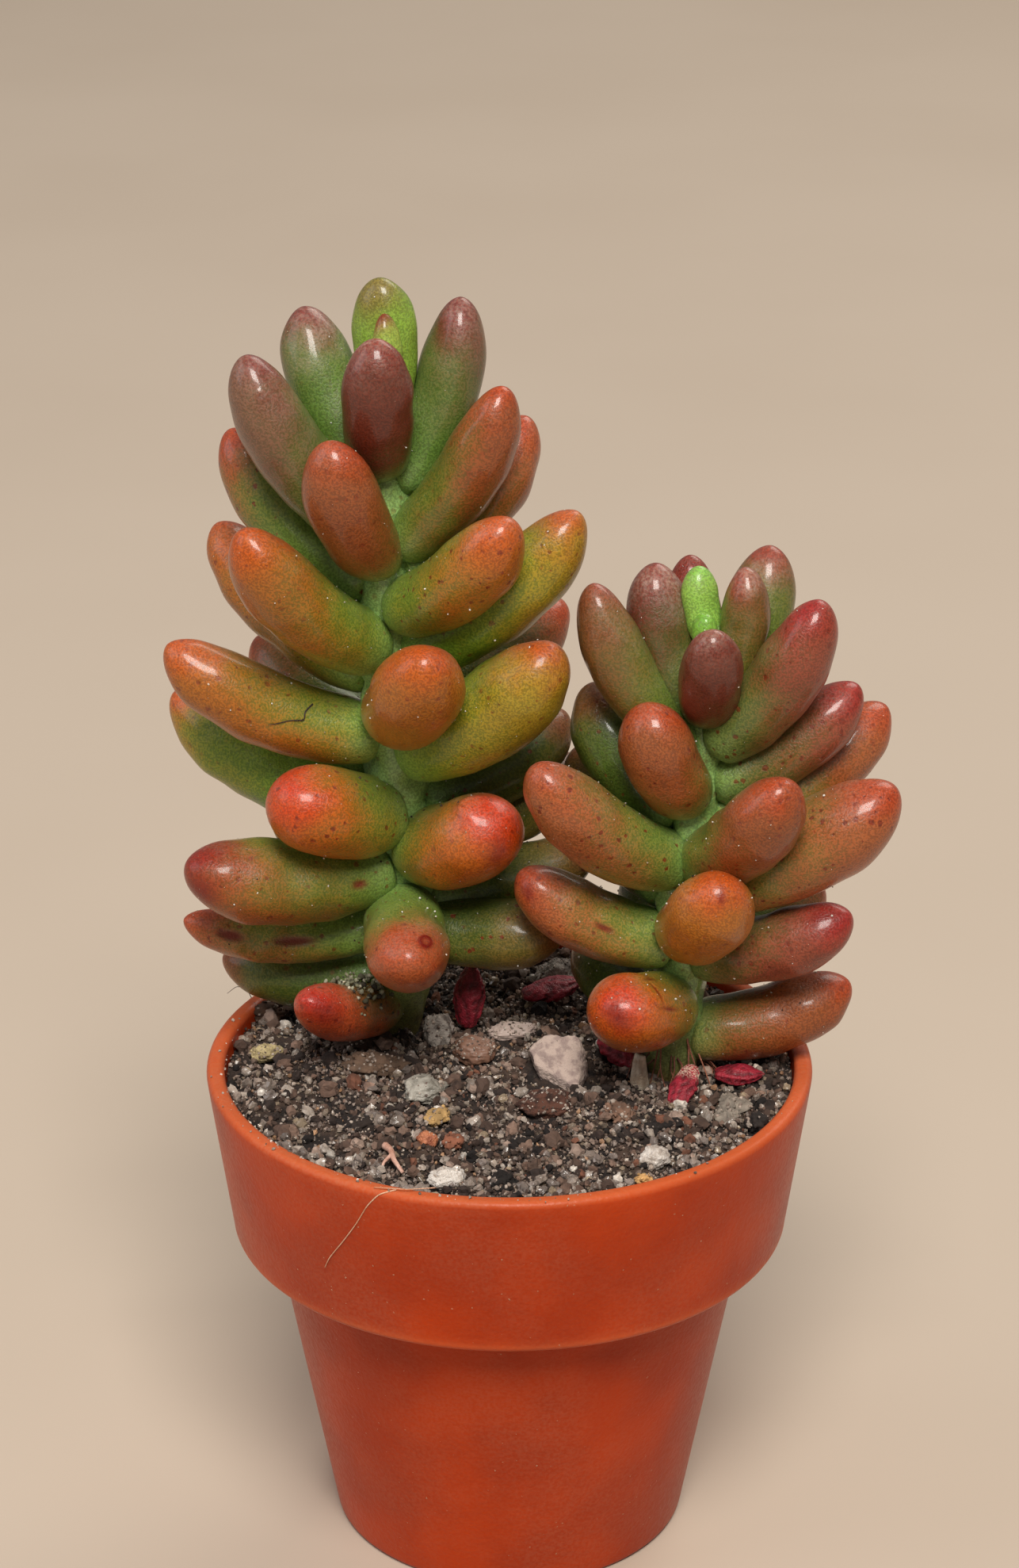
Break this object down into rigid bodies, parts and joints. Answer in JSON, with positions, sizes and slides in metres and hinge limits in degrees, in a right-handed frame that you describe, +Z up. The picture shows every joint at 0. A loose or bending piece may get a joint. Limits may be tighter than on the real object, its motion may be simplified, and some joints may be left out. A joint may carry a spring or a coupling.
{
  "type": "potted jelly bean succulent",
  "caption": "Jelly bean plant in its small plastic pot: upright leafy shoots with plump bean-shaped leaves over gritty soil with stones and fallen leaves.",
  "frame": {"origin": "middle of the flat pad on the pot's underside", "axes": "+Z up through the pot's middle; -Y is the front, the side the plant is seen from; +X runs from the tall shoot to the short one"},
  "size_m": [0.0474, 0.04, 0.0852],
  "materials": {
    "pot_plastic": "terracotta-coloured moulded plastic with a soft sheen, dusty on the collar",
    "potting_soil": "dry gritty soil of dark peat, grey sand and clear quartz grains",
    "leaf": "plump waxy leaves, green at the stem and orange to dark red at the tip",
    "pale_stone": "rough pale pumice and quartz",
    "brown_stone": "dull brown grit and bark",
    "dry_leaf": "shrunken dark red leaf skin",
    "root_wood": "pale dry broken root"
  },
  "bodies": {
    "root": {"pot": "pot_plastic", "soil": "potting_soil", "tall_shoot": "leaf", "short_shoot": "leaf", "pumice_stone": "pale_stone", "pitted_stone": "pale_stone", "flat_pale_stone": "pale_stone", "bark_lump": "brown_stone", "brown_pebble": "brown_stone", "white_quartz": "pale_stone", "grey_quartz": "pale_stone", "clear_quartz": "pale_stone", "orange_pebble": "brown_stone", "yellow_stone": "pale_stone", "back_stone": "pale_stone", "dry_leaf_spear": "dry_leaf", "dry_leaf_back": "dry_leaf", "dry_leaf_middle": "dry_leaf", "dry_leaf_front": "dry_leaf", "dry_leaf_side": "dry_leaf", "root_end": "root_wood"}
  },
  "joints": []
}
